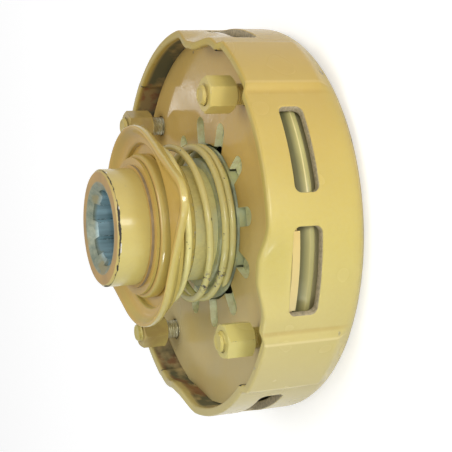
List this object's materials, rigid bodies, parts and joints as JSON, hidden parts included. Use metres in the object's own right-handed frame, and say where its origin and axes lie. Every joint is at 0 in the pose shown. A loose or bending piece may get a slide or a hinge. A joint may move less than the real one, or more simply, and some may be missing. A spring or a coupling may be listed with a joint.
{
  "type": "friction coupling",
  "caption": "Torque-limiting friction clutch in a pressed housing with a slotted disc spring and a splined hub that locks onto a shaft by a sprung collar.",
  "frame": {"origin": "on the axis, in the plane of the rear face", "axes": "+Z along the axis towards the open end of the hub, +X midway between two of the studs"},
  "size_m": [0.1812, 0.1812, 0.0893],
  "materials": {
    "gold_paint": "satin",
    "bare_steel": "dull",
    "ball_steel": "polished",
    "friction_lining": "matt",
    "bronze": "satin"
  },
  "bodies": {
    "housing": {"clutch_housing": "gold_paint", "back_flange": "gold_paint", "hub_bush": "bronze", "outer_plate": "bare_steel", "pressure_plate": "bare_steel", "release_studs": "gold_paint", "release_nuts": "gold_paint", "disc_spring": "gold_paint"},
    "hub": {"splined_hub": "gold_paint", "rear_circlip": "bare_steel", "friction_lining_1": "friction_lining", "friction_lining_2": "friction_lining", "friction_lining_3": "friction_lining", "friction_lining_4": "friction_lining", "drive_plate_front": "bare_steel", "drive_plate_rear": "bare_steel", "spring_seat": "bare_steel", "collar_spring": "gold_paint", "collar_stop_ring": "gold_paint", "retaining_ring": "gold_paint"},
    "collar": {"collar_sleeve": "gold_paint", "pull_plate": "gold_paint"},
    "ball_1": {"locking_ball_1": "ball_steel"},
    "ball_2": {"locking_ball_2": "ball_steel"},
    "ball_3": {"locking_ball_3": "ball_steel"}
  },
  "joints": [
    {"name": "hub_slip", "type": "hinge", "parent": "housing", "child": "hub", "pos_m": [0, 0, 0], "axis": [0, 0, 1], "continuous": true},
    {"name": "collar_slide", "type": "slide", "parent": "hub", "child": "collar", "axis": [0, 0, -1], "range_m": [0, 0.0067], "stiffness_N_per_m": 1960, "springref_m": -0.02, "deforming": ["collar_spring"]},
    {"name": "ball_1_slide", "type": "slide", "parent": "hub", "child": "ball_1", "axis": [0.866, 0.5, 0], "range_m": [0, 0.0027]},
    {"name": "ball_2_slide", "type": "slide", "parent": "hub", "child": "ball_2", "axis": [-0.866, 0.5, 0], "range_m": [0, 0.0027]},
    {"name": "ball_3_slide", "type": "slide", "parent": "hub", "child": "ball_3", "axis": [0, -1, 0], "range_m": [0, 0.0027]}
  ],
  "couplings": [
    {"joint": "ball_1_slide", "follows": "collar_slide", "ratio": 0.4},
    {"joint": "ball_2_slide", "follows": "collar_slide", "ratio": 0.4},
    {"joint": "ball_3_slide", "follows": "collar_slide", "ratio": 0.4}
  ]
}
